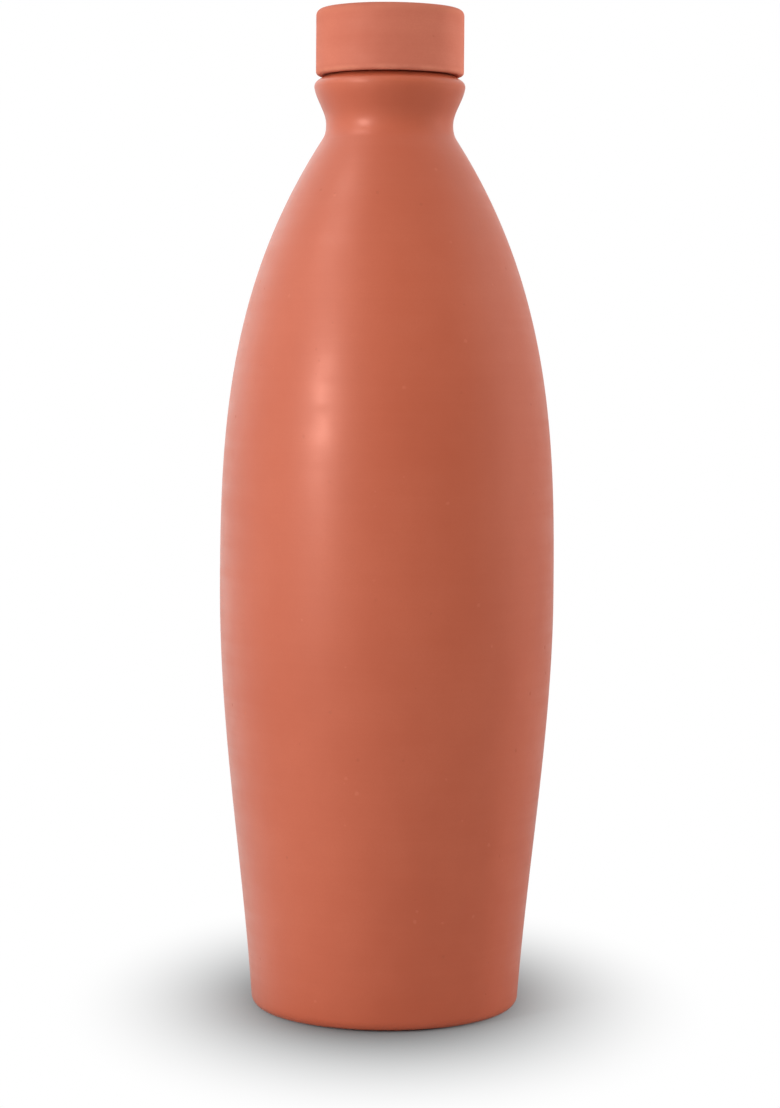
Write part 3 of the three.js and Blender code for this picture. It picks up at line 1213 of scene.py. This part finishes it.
@dataclass
class Cap:
    """The clay cap: a straight round head, and a hollow spigot with two grooves."""

    top_round: float = 1.8 * MM
    rim_round: float = 1.0 * MM
    rim_width: float = 2.9 * MM
    rim_drop: float = 0.8 * MM
    top_wall: float = 6.0 * MM
    hollow_round: float = 3.0 * MM
    spigot_wall: float = 5.6 * MM
    end_round: float = 1.0 * MM
    spigot_gap: float = 0.35 * MM
    groove_gap: float = 0.15 * MM
    segments: int = 144
    spacing: float = 0.8 * MM
    marks: HandMarks = HandMarks(
        sway_size=22 * MM,
        sway_depth=0.12 * MM,
        ridge_pitch=1.6 * MM,
        ridge_depth=0.008 * MM,
        seed=11.0,
    )

    def groove(self, profile: Profile, spigot: float, node: str) -> None:
        """Cuts the groove for a ring into the side of the spigot, on the way up.

        Args:
            profile: the profile being drawn.
            spigot: the spigot's radius.
            node: the ring that the groove holds.
        """
        low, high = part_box(node)
        half = SealRing.THICKNESS / 2
        middle = (high.x - half, (low.z + high.z) / 2)
        deep = half + self.groove_gap
        profile.line(spigot, middle[1] - deep)
        profile.line(middle[0], middle[1] - deep)
        profile.arc(middle, deep, 270, 90)
        profile.line(spigot, middle[1] + deep)

    def profile(self) -> Profile:
        """Draws the cap: its hollow, the spigot's end, the grooves, and over the head.

        Returns:
            The finished profile.
        """
        low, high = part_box("cap")
        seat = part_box("mouth_gasket")[1].z + Gasket.SEAT_GAP
        rim = seat - self.rim_drop
        rim_inner = high.x - self.rim_width
        rim_centre = (high.x - self.rim_round, rim + self.rim_round)
        top_centre = (high.x - self.top_round, high.z - self.top_round)
        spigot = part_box("upper_seal_ring")[1].x - self.spigot_gap
        hollow = spigot - self.spigot_wall
        hollow_top = high.z - self.top_wall
        hollow_centre = (hollow - self.hollow_round, hollow_top - self.hollow_round)
        end = low.z + self.end_round
        drawn = Profile(self.spacing)
        drawn.add(0.0, hollow_top)
        drawn.line(hollow_centre[0], hollow_top)
        drawn.arc(hollow_centre, self.hollow_round, 90, 0)
        drawn.line(hollow, end)
        drawn.arc((hollow + self.end_round, end), self.end_round, 180, 270)
        drawn.line(spigot - self.end_round, low.z)
        drawn.arc((spigot - self.end_round, end), self.end_round, -90, 0)
        self.groove(drawn, spigot, "lower_seal_ring")
        self.groove(drawn, spigot, "upper_seal_ring")
        drawn.line(spigot, seat)
        drawn.line(rim_inner, seat)
        drawn.line(rim_inner + self.rim_drop, rim)
        drawn.line(rim_centre[0], rim)
        drawn.hand = 1.0
        drawn.arc(rim_centre, self.rim_round, -90, 0)
        drawn.line(high.x, top_centre[1])
        drawn.arc(top_centre, self.top_round, 0, 90)
        drawn.line(0.0, high.z)
        return drawn

    def build(self, wheel: Wheel, material: bpy.types.Material) -> bpy.types.Object:
        """Turns the cap and puts it on its body.

        Args:
            wheel: what turns the profile.
            material: the clay.

        Returns:
            The cap.
        """
        piece = wheel.throw("clay_cap", self.profile(), self.segments, self.marks, material)
        return settle(piece, Body.CAP, "cap")


def towards(azimuth: float, elevation: float) -> Vector:
    """Gives the direction from the bottle to a place in the room.

    Args:
        azimuth: degrees to the right of the camera's side.
        elevation: degrees up from level.

    Returns:
        The direction, one unit long.
    """
    turn, rise = math.radians(azimuth), math.radians(elevation)
    level = math.cos(rise)
    return Vector((math.sin(turn) * level, -math.cos(turn) * level, math.sin(rise)))


@dataclass(frozen=True)
class Softbox:
    """One large soft lamp, aimed at the bottle."""

    name: str
    azimuth: float
    elevation: float
    distance: float
    width: float
    height: float
    power: float
    aim_height: float = 0.15
    mirrored: bool = True

    def build(self) -> None:
        """Makes the lamp, unseen by the camera, and in reflections only if it is mirrored."""
        data = bpy.data.lights.new(self.name, "AREA")
        data.shape = "RECTANGLE"
        data.size = self.width
        data.size_y = self.height
        data.energy = self.power
        lamp = bpy.data.objects.new(self.name, data)
        away = towards(self.azimuth, self.elevation)
        lamp.location = Vector((0.0, 0.0, self.aim_height)) + away * self.distance
        lamp.rotation_mode = "QUATERNION"
        lamp.rotation_quaternion = away.to_track_quat("Z", "Y")
        lamp.visible_camera = False
        lamp.visible_glossy = self.mirrored
        bpy.context.scene.collection.objects.link(lamp)


LAMPS = (
    Softbox(
        "key_panel", azimuth=-47, elevation=12, distance=1.2, width=0.18, height=0.22, power=7.3
    ),
    Softbox(
        "upper_panel", azimuth=-62, elevation=44, distance=1.25, width=0.5, height=0.5, power=4.3
    ),
    Softbox(
        "left_window", azimuth=-58, elevation=6, distance=1.3, width=0.9, height=1.5, power=1.1
    ),
    Softbox(
        "left_wall", azimuth=-85, elevation=6, distance=1.3, width=0.6, height=1.5, power=0.8
    ),
    Softbox(
        "right_wall", azimuth=90, elevation=8, distance=1.3, width=0.9, height=1.5, power=17.0,
        mirrored=False,
    ),
    Softbox(
        "right_corner", azimuth=120, elevation=8, distance=1.3, width=0.6, height=1.5, power=6.0,
        mirrored=False,
    ),
    Softbox(
        "back_wall", azimuth=180, elevation=10, distance=1.4, width=1.6, height=1.2, power=6.0,
        mirrored=False,
    ),
)


@dataclass
class Studio:
    """A white table in a white room, the lamps and the camera.

    By the foot the table shows a painted shadow: to the eye it is a dark grey over its real shade,
    and it throws light back as bounce_tone.
    That painted darkness fades over an oval, stretched front to back and moved back from the foot,
    and from white_reach on the table is plain white.
    """

    camera_distance: float = 0.8309
    camera_height: float = 0.1886
    camera_side: float = 0.00086
    camera_pitch: float = 3.997
    camera_roll: float = 0.36
    focal_pixels: float = 2896.5
    sensor: float = 36.0
    table_radius: float = 2.0
    table_corners: int = 64
    # Where the painted shadow starts to fade to white, how its oval is stretched front to back and
    # moved back, and the power on its fade.
    painted_shadow_start: float = 0.03
    white_reach: float = 0.096
    painted_shadow_stretch: float = 1.55
    painted_shadow_back: float = 0.01
    painted_shadow_rise: float = 0.62
    # A painted shadow: the dark, slightly cool grey that the eye sees on the table by the foot,
    # over the real shade there.
    painted_shadow_tone: Colour = (0.205, 0.228, 0.234, 1.0)
    bounce_tone: Colour = (0.8, 0.8, 0.8, 1.0)
    white: Colour = (1.0, 1.0, 1.0, 1.0)
    room_light: float = 0.24
    gleam_azimuth: float = -57.0
    gleam_elevation: float = 49.0
    gleam_low: float = 0.4
    gleam_high: float = 1.9
    gleam_spread: float = 0.9
    lamps: tuple[Softbox, ...] = LAMPS

    def camera(self) -> None:
        """Makes the camera at the picture's viewpoint."""
        data = bpy.data.cameras.new("camera")
        data.sensor_fit = "AUTO"
        data.sensor_width = self.sensor
        data.lens = self.sensor * self.focal_pixels / max(IMAGE_WIDTH, IMAGE_HEIGHT)
        camera = bpy.data.objects.new("camera", data)
        camera.location = (self.camera_side, -self.camera_distance, self.camera_height)
        tilt = Euler((math.radians(90 - self.camera_pitch), 0.0, 0.0)).to_quaternion()
        roll = Euler((0.0, 0.0, math.radians(self.camera_roll))).to_quaternion()
        camera.rotation_mode = "QUATERNION"
        camera.rotation_quaternion = tilt @ roll
        bpy.context.scene.collection.objects.link(camera)
        bpy.context.scene.camera = camera

    @staticmethod
    def seen(wires: Wiring) -> Socket:
        """Tells the rays that show the surroundings from those that only light.

        Args:
            wires: the wiring of the table or the room.

        Returns:
            The socket of 1 for a ray that shows them and 0 for one that lights.
        """
        path = wires.node("ShaderNodeLightPath").outputs
        straight = wires.math("MAXIMUM", path["Is Camera Ray"], path["Is Glossy Ray"])
        return wires.math("MAXIMUM", straight, path["Is Transmission Ray"])

    def gleam(self, wires: Wiring) -> Socket:
        """Gives how bright the surroundings show: white to the camera, uneven in a reflection.

        Args:
            wires: the wiring of the table or the room.

        Returns:
            The strength's socket.
        """
        back = wires.node("ShaderNodeNewGeometry").outputs["Incoming"]
        bright = towards(self.gleam_azimuth, self.gleam_elevation)
        side = wires.measure("DOT_PRODUCT", back, tuple(-bright))
        uneven = wires.ramp(
            side, -self.gleam_spread, self.gleam_spread, self.gleam_low, self.gleam_high
        )
        mirrored = wires.node("ShaderNodeLightPath").outputs["Is Glossy Ray"]
        return wires.math("MULTIPLY_ADD", mirrored, wires.math("SUBTRACT", uneven, 1.0), 1.0)

    def paper(self) -> bpy.types.Material:
        """Makes the table's finish: real shade with a painted shadow's dark grey near the foot,
        white further out.

        Returns:
            The finished material.
        """
        made, wires = blank_material("white_table_painted_shadow")
        place = wires.node("ShaderNodeTexCoord").outputs["Object"]
        # Painted shadow: the dark grey shows within an oval, stretched front to back and moved back
        # from the foot, and fades to white past it.
        moved = wires.vector("SUBTRACT", place, (0.0, self.painted_shadow_back, 0.0))
        squashed = wires.vector("MULTIPLY", moved, (1.0, 1.0 / self.painted_shadow_stretch, 0.0))
        past = wires.math("SUBTRACT", wires.measure("LENGTH", squashed), self.painted_shadow_start)
        away = wires.math("DIVIDE", past, self.white_reach - self.painted_shadow_start)
        risen = wires.math("POWER", wires.math("MAXIMUM", away, 0.0), self.painted_shadow_rise)
        far = wires.ramp(risen, 0.0, 1.0)
        seen = self.seen(wires)
        # Light that bounces off the table sees its pale tone; the camera and reflections see the
        # painted shadow's dark grey.
        tone = wires.blend(seen, self.bounce_tone, self.painted_shadow_tone)
        dull = wires.node("ShaderNodeBsdfDiffuse", {"Color": tone}).outputs[0]
        white = wires.node("ShaderNodeEmission", {"Strength": self.gleam(wires)}).outputs[0]
        feeds = {0: wires.math("MULTIPLY", far, seen), 1: dull, 2: white}
        mixed = wires.node("ShaderNodeMixShader", feeds).outputs[0]
        wires.node("ShaderNodeOutputMaterial", {"Surface": mixed})
        return made

    def table(self) -> None:
        """Makes the white table, a level disc under the foot."""
        data = bpy.data.meshes.new("table")
        angles = [math.tau * i / self.table_corners for i in range(self.table_corners)]
        reach = self.table_radius
        rim = [(reach * math.cos(angle), reach * math.sin(angle), 0.0) for angle in angles]
        data.from_pydata(rim, [], [tuple(range(len(rim)))])
        data.materials.append(self.paper())
        table = bpy.data.objects.new("table", data)
        bpy.context.scene.collection.objects.link(table)

    def room(self) -> None:
        """Makes the room: even light on the bottle, and white or a gleam where it is seen."""
        world = bpy.data.worlds.new("room")
        world.use_nodes = True
        world.node_tree.nodes.clear()
        wires = Wiring(world.node_tree)
        strength = wires.ramp(self.seen(wires), 0.0, 1.0, self.room_light, self.gleam(wires))
        feeds = {"Color": self.white, "Strength": strength}
        light = wires.node("ShaderNodeBackground", feeds).outputs[0]
        wires.node("ShaderNodeOutputWorld", {"Surface": light})
        bpy.context.scene.world = world

    def build(self) -> None:
        """Makes the table, the room, the lamps and the camera."""
        bpy.context.scene.view_settings.view_transform = "Standard"
        self.table()
        self.room()
        for lamp in self.lamps:
            lamp.build()
        self.camera()


def main() -> None:
    """Builds the bottle, the seals, the cap and the studio."""
    logging.basicConfig(level=logging.INFO, format="%(message)s")
    effects = ClayEffects()
    wheel = Wheel()
    rubber = RED_RUBBER.material(effects)
    pieces = (
        BottleBody().build(wheel, BURNISHED_CLAY.material(effects)),
        Gasket().build(wheel, rubber),
        SealRing("upper_seal_ring").build(wheel, rubber),
        SealRing("lower_seal_ring").build(wheel, rubber),
        Cap().build(wheel, PLAIN_CLAY.material(effects)),
    )
    for piece in pieces:
        LOG.info("%s: %d faces", piece.name, len(piece.data.polygons))
    Studio().build()
    bpy.context.view_layer.update()


if __name__ == "__main__":
    main()
